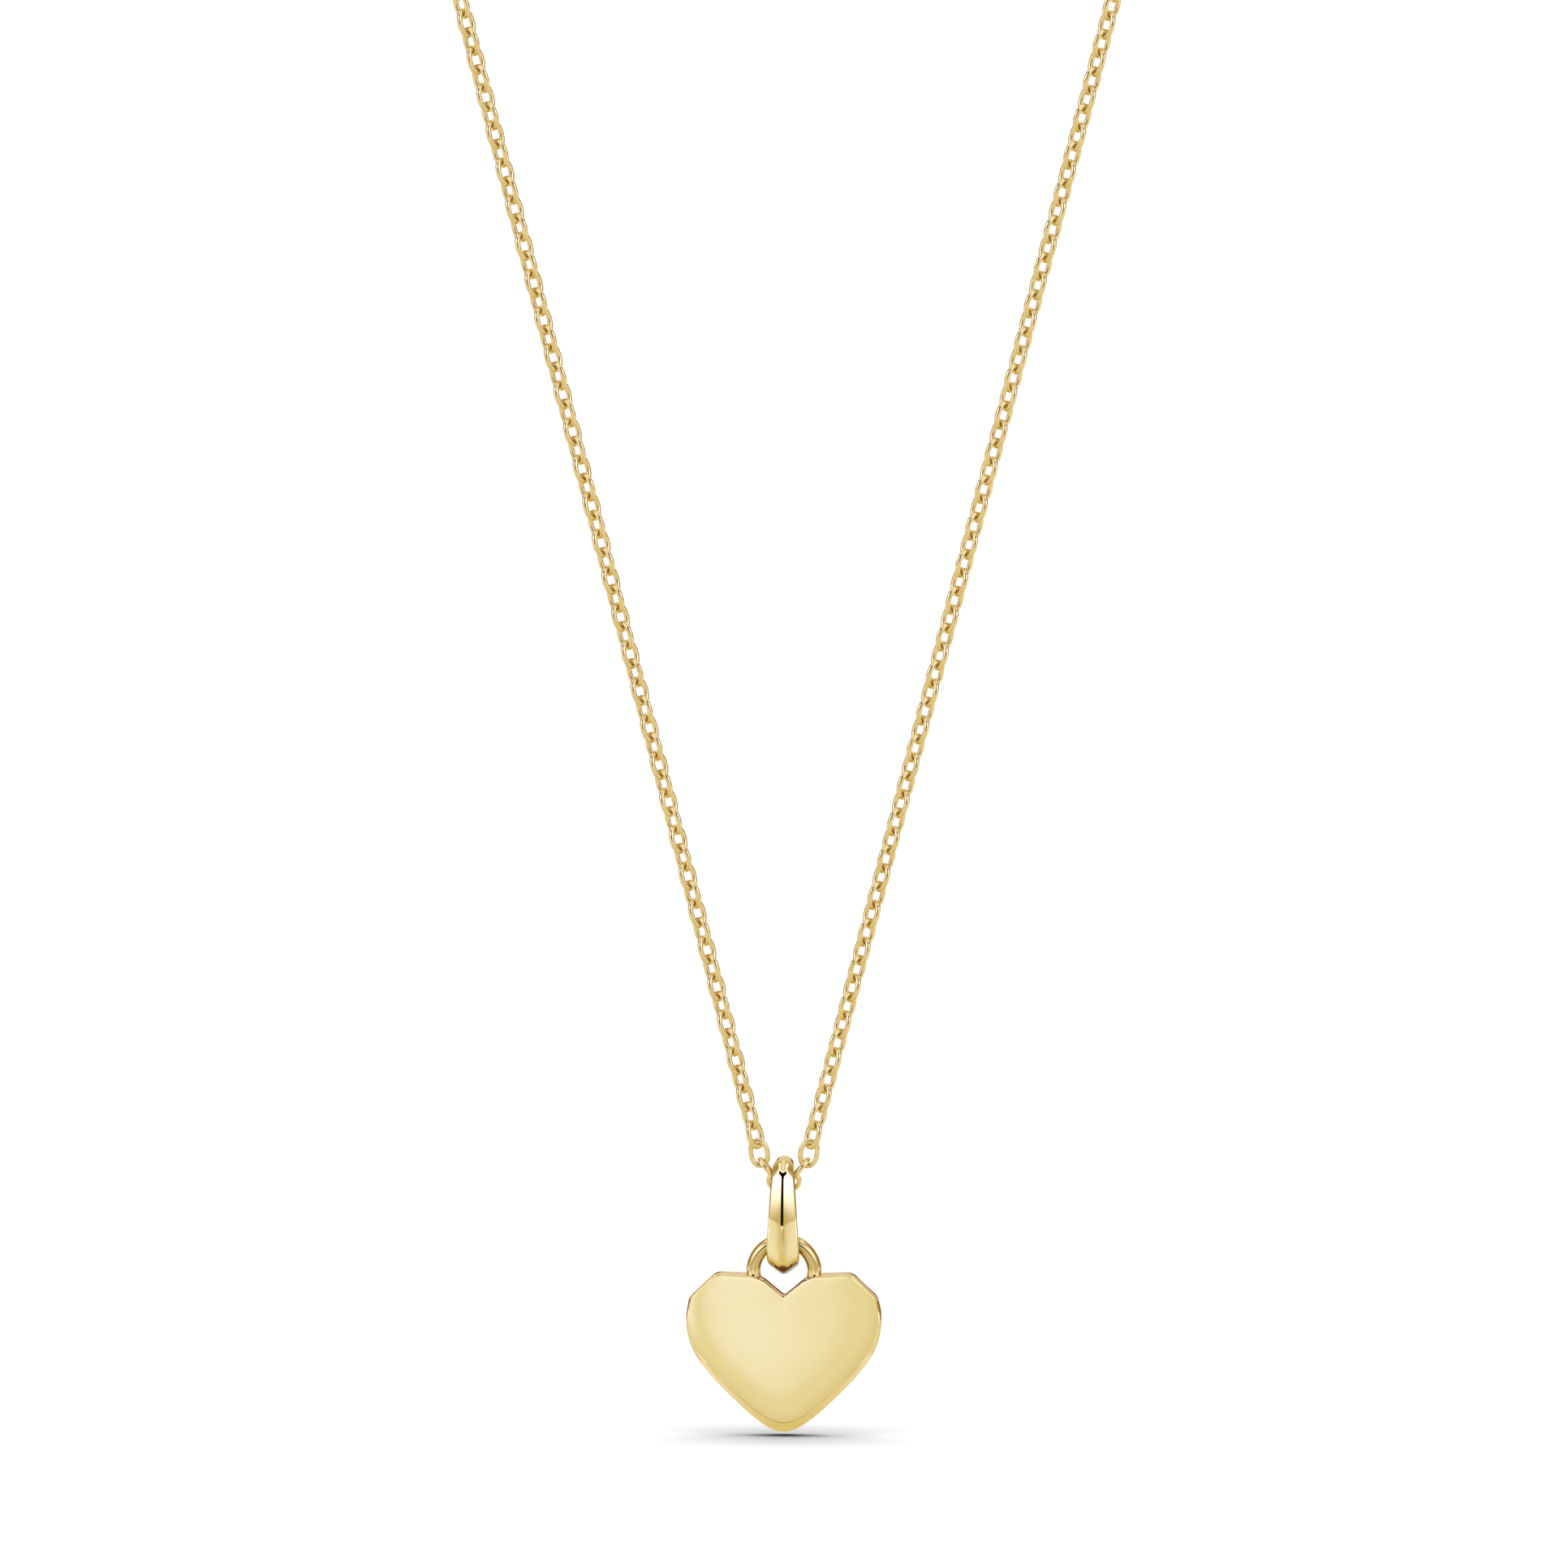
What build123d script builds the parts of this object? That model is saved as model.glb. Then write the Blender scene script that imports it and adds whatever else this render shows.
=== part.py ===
# Heart pendant on a fine cable chain, as it hangs round a neck.
#
# Frame: millimetres, the origin at the middle of the clasp at the nape, +Z up, the pendant towards -Y.
# The chain is two plain tubes as thick as its links, and the five links at the bail are real ones.
import os
from math import cos, hypot, pi, radians, sin, sqrt, tan

from build123d import *

os.makedirs("parts", exist_ok=True)

# Where the necklace hangs
drop = 158.0                # from the clasp down to the chain's lowest point
reach = 100.0               # from the clasp forwards to the pendant
neck_width = 100.0          # across the loop at the sides of the neck
running_gap = 0.1           # between loose links, and between the pendant's moving pieces

# Cable chain
link_wire = 0.28
link_width = 1.3
link_pitch = 1.18
center_link_length = 2.15
center_link_width = 1.4
center_link_lift = 0.1      # its middle stands this far above the bail's swing axis
lower_link_slope = 51.0     # of the first link above the horizontal, in degrees
upper_link_lean = 10.0      # of the second link off the vertical, in degrees

# Bail: a loop with a ridge round its outside and a domed top
bail_length = 5.5           # from its swing axis down to the centre of the heart's ring
bail_width_top = 1.42
bail_width_low = 2.12
bail_top_thickness = 0.57
bail_bar_thickness = 1.02
bail_opening_depth = 2.8    # from front to back, at its widest
bail_side_radius = 10.0     # of the long front and back curves
bail_dome_height = 0.5
bail_ridge_rise = 0.25      # the ridge, run on over the dome, would stand this much higher
bail_facet_angle = 35.0
bail_side_draft = 2.5       # of each side towards the back, in degrees
bail_edge_radius = 0.1

# Heart, and the half ring soldered on its top
heart_width = 12.1
heart_height = 9.9
heart_thickness = 1.9
heart_top_drop = 0.1        # from the ring's centre down to the top of the lobes
heart_corner_radius = 0.9
heart_cleft_radius = 0.3
heart_bevel_depth = 0.55    # how far back the lower bevel runs
heart_bevel_rise = 0.5      # how much higher the front face ends at the apex
heart_bevel_inset = 0.08    # how much narrower the front face is at each side
ring_wire = 0.88
ring_seat = 0.83            # how far above the ring's centre the bail's bar carries it
ring_foot_angle = 30.0      # how far the half ring runs on below its centre, into the heart

# Clasp and its two jump rings
clasp_radius = 2.25         # to the middle of its wire, as the other radii here
clasp_wire = 1.0
clasp_eye_radius = 0.65
clasp_eye_wire = 0.5
jump_ring_radius = 1.0
jump_ring_wire = 0.4

# The right half of the chain above the pendant, from front to back, where its runs meet.
# Shares of half the neck's width, of the reach and of the drop, measured from the low point.
route_shares = [
    # side, back, up
    (0.461, 0.029, 0.534),
    (0.627, 0.086, 0.683),
    (0.843, 0.210, 0.807),
    (1.000, 0.410, 0.888),
    (0.980, 0.648, 0.944),
    (0.745, 0.867, 0.981),
    (0.360, 0.982, 1.000),
]

# The right half of the heart's outline, from the cleft out to the side and down to the apex.
# Shares of half the width and of the height.
heart_upper = [
    # across, down
    (0.000, 0.140),
    (0.209, 0.036),
    (0.314, 0.011),
    (0.710, 0.000),
    (0.967, 0.150),
    (0.990, 0.230),
]
heart_lower = [
    # across, down
    (0.990, 0.230),
    (0.926, 0.490),
    (0.740, 0.652),
    (0.483, 0.813),
    (0.253, 0.934),
    (0.000, 1.000),
]

# Sizes that follow
link_length = link_pitch + 2 * link_wire + running_gap
link_step = link_wire + running_gap
bail_eye_radius = link_width / 2 + link_wire + running_gap
bail_round_radius = bail_opening_depth / 2
bail_opening_foot = bail_length - ring_seat
bail_round_drop = bail_opening_foot - bail_round_radius
bail_top = bail_eye_radius + bail_top_thickness
bail_foot = bail_opening_foot + bail_bar_thickness
ring_radius = hypot(bail_width_low / 2, ring_seat) + running_gap + ring_wire / 2

# Places and directions
low_point = Vector(0, -reach, -drop)
ring_center = low_point - Vector(0, 0, bail_length)
forwards = Vector(0, -1, 0)
to_the_right = Vector(1, 0, 0)
sides = (("left", -1), ("right", 1))


def on_side(point, side):
    """The point on the right (1) or on the left (-1) half of the necklace."""
    return Vector(side * point.X, point.Y, point.Z)


# Links
def make_link(label, plane, length, width):
    """Makes one closed oval link of round wire, its long axis along the plane's own X."""
    with BuildPart() as link:
        with BuildLine(plane) as middle:
            half_straight = (length - width) / 2
            bend = (width - link_wire) / 2
            Line((-half_straight, -bend), (half_straight, -bend))
            CenterArc((half_straight, 0), bend, -90, 180)
            Line((half_straight, bend), (-half_straight, bend))
            CenterArc((-half_straight, 0), bend, 90, 180)
        wire = middle.wire()
        with BuildSketch(Plane(wire @ 0, z_dir=wire % 0)):
            Circle(link_wire / 2)
        sweep(path=wire)
    link.part.label = label
    export_step(link.part, f"parts/{label}.step")


link_center = low_point + Vector(0, 0, center_link_lift)
facing = Plane(link_center, x_dir=to_the_right, z_dir=forwards)
make_link("center_link", facing, center_link_length, center_link_width)

# The first link hooks round the centre link's end, and the second hangs it from the strand.
slope = Vector(cos(radians(lower_link_slope)), 0, sin(radians(lower_link_slope)))
lean = Vector(sin(radians(upper_link_lean)), 0, cos(radians(upper_link_lean)))
end_center = link_center + to_the_right * ((center_link_length - center_link_width) / 2)
lower_start = end_center + slope * ((center_link_width - link_wire) / 2 - link_step)
lower_end = lower_start + slope * (link_length - link_wire)
upper_start = lower_end - lean * link_step
upper_end = upper_start + lean * (link_length - link_wire)

for word, side in sides:
    start = on_side(lower_start, side)
    end = on_side(lower_end, side)
    edge_on = Plane((start + end) / 2, x_dir=end - start, z_dir=forwards.cross(end - start))
    make_link(f"{word}_link_1", edge_on, link_length, link_width)

    start = on_side(upper_start, side)
    end = on_side(upper_end, side)
    face_on = Plane((start + end) / 2, x_dir=end - start, z_dir=forwards)
    make_link(f"{word}_link_2", face_on, link_length, link_width)

# Clasp: a plain ring with an eye, set so that the chain ends alike on both sides of the nape.
eye_place = clasp_radius + clasp_wire / 2 + clasp_eye_wire / 2
eye_far_wall = eye_place + clasp_eye_radius - clasp_eye_wire / 2
eye_side_end = eye_far_wall - running_gap + 2 * jump_ring_radius
ring_side_end = clasp_radius - clasp_wire / 2 - running_gap - jump_ring_wire + 2 * jump_ring_radius
clasp_shift = (eye_side_end - ring_side_end) / 2
jump_end = (eye_side_end + ring_side_end) / 2
jump_place = jump_end - jump_ring_radius - jump_ring_wire / 2

with BuildPart() as clasp:
    with Locations((clasp_shift, 0, 0)):
        Torus(clasp_radius, clasp_wire / 2, rotation=(90, 0, 0))
    with Locations((clasp_shift - eye_place, 0, 0)):
        Torus(clasp_eye_radius, clasp_eye_wire / 2, rotation=(90, 0, 0))
clasp.part.label = "clasp"
export_step(clasp.part, "parts/clasp.step")

for word, side in sides:
    with BuildPart() as jump_ring:
        with Locations((side * jump_place, 0, 0)):
            Torus(jump_ring_radius, jump_ring_wire / 2)
    jump_ring.part.label = f"jump_ring_{word}"
    export_step(jump_ring.part, f"parts/jump_ring_{word}.step")

# The chain's two halves: straight runs joined by tangent arcs, as large as the runs allow.
route = [upper_end + lean * (link_wire / 2 + running_gap)]
for side_share, back_share, up_share in route_shares:
    route.append(low_point + Vector(side_share * neck_width / 2, back_share * reach, up_share * drop))
route.append(Vector(jump_end + running_gap, 0, 0))


def corner_radii(points):
    """Each corner's radius: 0.45 of its shorter run over the tangent of half its turn."""
    radii = []
    for before, corner, after in zip(points, points[1:], points[2:]):
        turn = (corner - before).get_angle(after - corner)
        run = min((corner - before).length, (after - corner).length)
        radii.append(0.45 * run / tan(radians(turn / 2)))
    return radii


for word, side in sides:
    points = [on_side(point, side) for point in route]
    radii = corner_radii(points)
    with BuildPart() as chain:
        with BuildLine() as middle:
            FilletPolyline(*points, radius=radii)
        wire = middle.wire()
        with BuildSketch(Plane(wire @ 0, z_dir=wire % 0)):
            Circle(link_width / 2)
        sweep(path=wire)
    chain.part.label = f"chain_{word}"
    export_step(chain.part, f"parts/chain_{word}.step")
    section = pi * (link_width / 2) ** 2
    print("chain", word, "length", round(wire.length, 1), "radii", [round(radius, 1) for radius in radii])
    print("volume over section times length", round(chain.part.volume / (section * wire.length), 5))


# Bail
def egg(top_radius, foot_radius, foot_drop, side_radius):
    """Draws an upright egg of four tangent arcs, with its top circle's centre at the origin."""
    to_top = side_radius - top_radius
    to_foot = side_radius - foot_radius
    side_drop = (foot_drop**2 + to_top**2 - to_foot**2) / (2 * foot_drop)
    side_shift = sqrt(to_top**2 - side_drop**2)
    widest = side_radius - side_shift
    top_x = top_radius * side_shift / to_top
    top_y = top_radius * side_drop / to_top
    foot_x = foot_radius * side_shift / to_foot
    foot_y = -foot_drop + foot_radius * (side_drop - foot_drop) / to_foot
    ThreePointArc((top_x, top_y), (0, top_radius), (-top_x, top_y))
    ThreePointArc((-top_x, top_y), (-widest, -side_drop), (-foot_x, foot_y))
    ThreePointArc((-foot_x, foot_y), (0, -foot_drop - foot_radius), (foot_x, foot_y))
    ThreePointArc((foot_x, foot_y), (widest, -side_drop), (top_x, top_y))


def bail_outline(margin):
    """Draws the bail's front outline, wider by the margin at each side."""
    shoulder = bail_top - bail_dome_height
    half_top = bail_width_top / 2 + margin
    half_low = bail_width_low / 2 + margin
    EllipticalCenterArc((0, shoulder), half_top, bail_dome_height, arc_size=180)
    Polyline((-half_top, shoulder), (-half_low, -bail_foot), (half_low, -bail_foot), (half_top, shoulder))


side_view = Plane(low_point, x_dir=(0, 1, 0), z_dir=to_the_right)
front_view = Plane(low_point, x_dir=to_the_right, z_dir=forwards)
with BuildPart() as bail:
    # Two facets that slope away from the ridge, all round the loop
    with BuildSketch(side_view):
        with BuildLine():
            egg(
                bail_top + bail_ridge_rise,
                bail_round_radius + bail_bar_thickness,
                bail_round_drop,
                bail_side_radius,
            )
        make_face()
    extrude(amount=bail_width_low / 2 + bail_edge_radius, taper=bail_facet_angle, both=True)
    # The front outline: a domed top and sides that widen downwards, a little narrower towards the back
    for depth in (bail_length, -bail_length):
        with BuildSketch(front_view.offset(depth)):
            with BuildLine():
                bail_outline(-(bail_length / 3 - depth) * tan(radians(bail_side_draft)))
            make_face()
    loft(ruled=True, mode=Mode.INTERSECT)
    # The opening
    with BuildSketch(side_view):
        with BuildLine():
            egg(
                bail_eye_radius,
                bail_round_radius,
                bail_round_drop,
                bail_side_radius - bail_bar_thickness,
            )
        make_face()
    extrude(amount=bail_width_low, both=True, mode=Mode.SUBTRACT)
    side_walls = bail.faces().filter_by(lambda face: abs(face.normal_at().X) > 0.9)
    fillet(side_walls.edges(), bail_edge_radius)
bail.part.label = "bail"
export_step(bail.part, "parts/bail.step")


# Heart
def heart_outline(rise, inset):
    """Draws the heart's outline, its apex raised by rise and its sides drawn in by inset."""
    half_width = heart_width / 2 - inset
    widest_down = heart_lower[0][1]

    def place(across, down):
        below = max(0.0, down - widest_down) / (1 - widest_down)
        return Vector(across * half_width, below * rise - down * heart_height)

    upper = [place(across, down) for across, down in heart_upper]
    lower = [place(across, down) for across, down in heart_lower]
    FilletPolyline(*upper, radius=[heart_cleft_radius] + [heart_corner_radius] * (len(upper) - 3))
    Spline(*lower, tangents=[upper[-1] - upper[-2], (-1, 0)])
    mirror(about=Plane.YZ)


def round_cleft(face):
    """Rounds the bottom of the cleft, the upper of the outline's two points on the middle line."""
    on_middle = face.vertices().group_by(lambda vertex: round(abs(vertex.X), 6))[0]
    fillet(on_middle.sort_by(Axis.Y)[-1], heart_cleft_radius)


def heart_plane(depth):
    """The upright plane through the heart that lies this far behind its front face."""
    front = ring_center + forwards * (heart_thickness / 2 - depth)
    return Plane(front - Vector(0, 0, heart_top_drop), x_dir=to_the_right, z_dir=forwards)


with BuildPart() as heart:
    # The body, up to where the bevel begins
    with BuildSketch(heart_plane(heart_thickness)) as back:
        with BuildLine():
            heart_outline(0, 0)
        make_face()
        round_cleft(back)
    extrude(amount=heart_thickness - heart_bevel_depth)
    # The bevelled front
    with BuildSketch(heart_plane(heart_bevel_depth)) as middle:
        with BuildLine():
            heart_outline(0, 0)
        make_face()
        round_cleft(middle)
    with BuildSketch(heart_plane(0)) as front:
        with BuildLine():
            heart_outline(heart_bevel_rise, heart_bevel_inset)
        make_face()
        round_cleft(front)
    loft(ruled=True)
    # The half ring
    ring_plane = Plane(ring_center, x_dir=to_the_right, z_dir=forwards)
    with BuildLine(ring_plane) as bow:
        CenterArc((0, 0), ring_radius, -ring_foot_angle, 180 + 2 * ring_foot_angle)
    bow_wire = bow.wire()
    with BuildSketch(Plane(bow_wire @ 0, z_dir=bow_wire % 0)):
        Circle(ring_wire / 2)
    sweep(path=bow_wire)
heart.part.label = "heart"
export_step(heart.part, "parts/heart.step")
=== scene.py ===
import math

import bpy
import numpy as np
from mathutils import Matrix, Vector


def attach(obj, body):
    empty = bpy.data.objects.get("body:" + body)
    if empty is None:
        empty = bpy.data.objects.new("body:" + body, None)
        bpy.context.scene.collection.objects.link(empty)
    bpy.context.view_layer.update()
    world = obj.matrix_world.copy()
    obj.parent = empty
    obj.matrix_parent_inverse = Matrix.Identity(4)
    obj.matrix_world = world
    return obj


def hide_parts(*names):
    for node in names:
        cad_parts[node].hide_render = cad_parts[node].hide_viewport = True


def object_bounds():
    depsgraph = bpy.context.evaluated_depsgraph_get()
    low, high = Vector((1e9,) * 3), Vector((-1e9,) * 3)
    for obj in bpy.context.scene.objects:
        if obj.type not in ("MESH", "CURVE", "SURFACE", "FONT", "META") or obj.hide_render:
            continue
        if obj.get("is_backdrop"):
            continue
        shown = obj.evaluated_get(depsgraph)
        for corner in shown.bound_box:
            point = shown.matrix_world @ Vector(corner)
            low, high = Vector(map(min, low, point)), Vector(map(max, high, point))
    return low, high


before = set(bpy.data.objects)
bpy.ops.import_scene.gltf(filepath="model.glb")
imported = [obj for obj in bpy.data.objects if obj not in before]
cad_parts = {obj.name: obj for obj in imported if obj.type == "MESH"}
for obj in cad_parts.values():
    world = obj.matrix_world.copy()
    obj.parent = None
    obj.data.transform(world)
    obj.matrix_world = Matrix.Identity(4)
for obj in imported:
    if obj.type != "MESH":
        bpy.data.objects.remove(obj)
cad_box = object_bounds()

# Sizes are in millimetres and become metres when a mesh is made.
MM = 0.001
SHARP_ANGLE = math.radians(35.0)

# Where the necklace hangs, from the middle of the clasp
DROP = 158.0
REACH = 100.0
HALF_NECK = 50.0
LOW = np.array([0.0, -REACH, -DROP])

RIGHT = np.array([1.0, 0.0, 0.0])
FORWARDS = np.array([0.0, -1.0, 0.0])
UP = np.array([0.0, 0.0, 1.0])

# Cable chain. A link's path is the middle line of its wire.
BAIL_LINK_WIRE = 0.32
LINK_PATH_LENGTH = 1.56
LINK_PATH_WIDTH = 1.02
LINK_STEP = 0.38                    # between the middles of two wires that hook together
LINK_FULLNESS = 0.93                # the power of its oval: an ellipse has 1, and less is fuller
STRAND_WIRE = 0.345
STRAND_PATH_LENGTH = 1.54
STRAND_PATH_WIDTH = 0.98
STRAND_STEP = 0.36
STRAND_PITCH = STRAND_PATH_LENGTH - STRAND_STEP
LINK_ROLL = math.radians(45.0)      # either way about the strand, from facing forwards
JUMP_RING_GAP = 0.06                # between the wires of a strand's last link and its jump ring
BEND_SHARE = 0.45                   # of the shorter run beside it that a bend of the strand takes
CENTER_PATH_LENGTH = 1.87
CENTER_PATH_WIDTH = 1.12
CENTER_LINK_LIFT = 0.1
LOWER_LINK_SLOPE = math.radians(51.0)
UPPER_LINK_LEAN = math.radians(10.0)

# Bail
BAIL_LENGTH = 5.5
BAIL_WIDTH_TOP = 1.42
BAIL_WIDTH_LOW = 2.22
BAIL_EYE_RADIUS = 1.03
BAIL_TOP = 1.6
BAIL_BAR = 1.02
BAIL_ROUND_RADIUS = 1.4
BAIL_ROUND_DROP = 3.27
BAIL_FOOT = 5.69
BAIL_SIDE_RADIUS = 10.0
BAIL_DOME = 0.5
BAIL_RIDGE_RISE = 0.25
BAIL_FACET = math.radians(40.0)
BAIL_SIDE_DRAFT = math.radians(3.2)
BAIL_EDGE_RADIUS = 0.1
BAIL_RIDGE_RADIUS = 0.4
BAIL_FOOT_DROP = 0.12                  # how far the flats under its foot reach below the CAD's foot
BAIL_FOOT_SLOPE = math.radians(73.7)   # of those flats, off the vertical
BAIL_FOOT_FACET = math.radians(37.5)
BAIL_FOOT_RIDGE_RADIUS = 0.1
BAIL_FOOT_RADIUS = 0.08

# Heart and its half ring
HEART_WIDTH = 12.1
HEART_HEIGHT = 9.9
HEART_THICKNESS = 1.9
HEART_TOP_DROP = 0.1
HEART_MIDDLE = np.array([0.0, -4.2])    # below the top of its outline
HEART_CORNER_RADIUS = 0.9
HEART_CLEFT_RADIUS = 0.2
BEVEL_DEPTH = 0.55
BEVEL_RISE = 0.5
BEVEL_INSET = 0.08
RIM_CHAMFER = 0.07          # of the face's rim, where no bevel follows it
BEVEL_CHAMFER = 0.03
EDGE_CUT = 0.045            # how far the eased edges reach to either side of their corners
TOP_DRAFT = 0.03            # how far the walls draw in towards the back, on top and where they slant
SLANT_DRAFT = 0.2
GROOVE_WIDTH = 0.08         # of the fine line cut along the bevel
GROOVE_DEPTH = 0.05
BACK_FALL = 0.12            # how far the domed back falls away by its sides
FACE_SIDE_FALL = 0.12       # how far the domed face falls back at the sides, and the others alike
FACE_FOOT_FALL = 0.065
FACE_EDGE_FALL = 0.14
FACE_EDGE_POWER = 6         # of the share of the reach, so that this fall keeps to the edge
FACE_EDGE_START = math.radians(35.0)    # off the top, in which direction the edge's fall begins
FACE_EDGE_TURN = math.radians(60.0)     # and over which it grows to the whole
FACE_TOP_ROLL = 0.018
FACE_TOP_ROLL_WIDTH = 0.35
HEART_DIRECTIONS = 720      # from its middle, in which its rings are worked out
WIDE_WINDOW = 61            # of those directions, for a wide and a narrow smoothing
NARROW_WINDOW = 31
BEVEL_ONSET = 0.1           # how broad the bevel is where it begins to count as one, and how much
BEVEL_GROWTH = 0.2          # broader where it counts in full
RING_RADIUS = 1.88
RING_WIRE = 0.88
RING_FOOT = math.radians(30.0)
RING_CENTER = LOW - UP * BAIL_LENGTH

# Clasp and jump rings
CLASP_RADIUS = 2.25
CLASP_WIRE = 1.0
CLASP_SHIFT = 1.025
EYE_RADIUS = 0.65
EYE_WIRE = 0.5
JUMP_RADIUS = 1.0
JUMP_WIRE = 0.4
JUMP_PLACE = 3.075

# The chain's right half, from front to back: shares of half the neck's width, the reach and the drop
ROUTE_SHARES = [
    # side, back, up
    (0.461, 0.029, 0.534),
    (0.627, 0.086, 0.683),
    (0.843, 0.210, 0.807),
    (1.000, 0.410, 0.888),
    (0.980, 0.648, 0.944),
    (0.745, 0.867, 0.981),
    (0.360, 0.982, 1.000),
]

# The heart's right half, from the cleft: shares of half the width and of the height
HEART_UPPER = [
    # across, down
    (0.000, 0.140),
    (0.209, 0.036),
    (0.314, 0.011),
    (0.710, 0.000),
    (0.967, 0.150),
    (0.990, 0.230),
]
HEART_LOWER = [
    # across, down
    (0.990, 0.230),
    (0.926, 0.490),
    (0.740, 0.652),
    (0.483, 0.813),
    (0.253, 0.934),
    (0.000, 1.000),
]


def unit(vector):
    return vector / np.linalg.norm(vector)


def on_side(point, side):
    """The point on the right (1) or on the left (-1) half of the necklace."""
    return point * np.array([side, 1.0, 1.0])


# Meshes
def make_mesh(name, points, faces):
    """A smooth-shaded mesh object from points in millimetres."""
    mesh = bpy.data.meshes.new(name)
    mesh.from_pydata((np.asarray(points) * MM).tolist(), [], [tuple(face) for face in faces])
    mesh.shade_smooth()
    made = bpy.data.objects.new(name, mesh)
    bpy.context.scene.collection.objects.link(made)
    return made


def closed_grid(rows, columns, rows_close=True):
    """Quads of a grid whose columns close into rings, and whose rows do too if rows_close."""
    first_rows = np.arange(rows if rows_close else rows - 1)
    row, column = np.meshgrid(first_rows, np.arange(columns), indexing="ij")
    next_row = (row + 1) % rows
    next_column = (column + 1) % columns
    corners = (
        row * columns + column,
        next_row * columns + column,
        next_row * columns + next_column,
        row * columns + next_column,
    )
    return np.stack([corner.ravel() for corner in corners], axis=1)


def round_wire(path, normal, radii, sides):
    """Points of a round wire along a closed flat path, with its radius at each of the path's points."""
    along = np.roll(path, -1, axis=0) - np.roll(path, 1, axis=0)
    along = along / np.linalg.norm(along, axis=1)[:, None]
    outwards = np.cross(along, normal)
    angles = np.arange(sides) * 2 * math.pi / sides
    spread = outwards[:, None, :] * np.cos(angles)[None, :, None]
    spread = spread + normal * np.sin(angles)[None, :, None]
    return (path[:, None, :] + spread * np.asarray(radii)[:, None, None]).reshape(-1, 3)


def fuse(name, first, second):
    """One closed body from two that overlap, with sharp lines where they meet."""
    join = first.modifiers.new("join", "BOOLEAN")
    join.operation = "UNION"
    join.solver = "EXACT"
    join.object = second
    bpy.context.view_layer.update()
    joined = first.evaluated_get(bpy.context.evaluated_depsgraph_get())
    mesh = bpy.data.meshes.new_from_object(joined)
    bpy.data.objects.remove(first)
    bpy.data.objects.remove(second)
    mesh.name = name
    mesh.shade_smooth()
    mesh.set_sharp_from_angle(angle=SHARP_ANGLE)
    made = bpy.data.objects.new(name, mesh)
    bpy.context.scene.collection.objects.link(made)
    return made


def stand_for(piece, slot, body, *nodes):
    """Hides the CAD nodes that the piece stands for, and gives it their body. Its slot is not used."""
    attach(piece, body)
    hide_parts(*nodes)


# Links
def link_path(start, end, width_axis, width, segments):
    """The middle line of a link's wire, a full oval, and the direction across its plane."""
    along = unit(end - start)
    across = unit(width_axis - along * np.dot(width_axis, along))
    angles = np.arange(segments) * 2 * math.pi / segments
    lengthwise = np.sign(np.cos(angles)) * np.abs(np.cos(angles)) ** LINK_FULLNESS
    crosswise = np.sign(np.sin(angles)) * np.abs(np.sin(angles)) ** LINK_FULLNESS
    half_length = np.linalg.norm(end - start) / 2
    path = (
        (start + end) / 2
        + lengthwise[:, None] * half_length * along
        + crosswise[:, None] * width / 2 * across
    )
    return path, np.cross(along, across)


def link_wire(start, end, width_axis, width, wire, segments, sides):
    path, normal = link_path(start, end, width_axis, width, segments)
    return round_wire(path, normal, np.full(segments, wire / 2), sides)


slope = np.array([math.cos(LOWER_LINK_SLOPE), 0.0, math.sin(LOWER_LINK_SLOPE)])
lean = np.array([math.sin(UPPER_LINK_LEAN), 0.0, math.cos(UPPER_LINK_LEAN)])
link_center = LOW + UP * CENTER_LINK_LIFT
end_center = link_center + RIGHT * (CENTER_PATH_LENGTH - CENTER_PATH_WIDTH) / 2
lower_start = end_center + slope * (CENTER_PATH_WIDTH / 2 - LINK_STEP)
lower_end = lower_start + slope * LINK_PATH_LENGTH
upper_start = lower_end - lean * LINK_STEP
upper_end = upper_start + lean * LINK_PATH_LENGTH


def make_bail_link(node, start, end, width_axis, width):
    """One of the five links at the bail, in the place of its own solid."""
    segments = 96
    sides = 32
    points = link_wire(start, end, width_axis, width, BAIL_LINK_WIRE, segments, sides)
    link = make_mesh(f"{node}_wire", points, closed_grid(segments, sides))
    stand_for(link, "chain_gold", "necklace", node)
    return link


def make_bail_links():
    half = RIGHT * CENTER_PATH_LENGTH / 2
    ends = (link_center - half, link_center + half)
    links = [make_bail_link("center_link", *ends, UP, CENTER_PATH_WIDTH)]
    for word, side in (("left", -1), ("right", 1)):
        lower = (on_side(lower_start, side), on_side(lower_end, side), FORWARDS)
        upper = (on_side(upper_start, side), on_side(upper_end, side), RIGHT * side)
        links.append(make_bail_link(f"{word}_link_1", *lower, LINK_PATH_WIDTH))
        links.append(make_bail_link(f"{word}_link_2", *upper, LINK_PATH_WIDTH))
    return links


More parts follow.
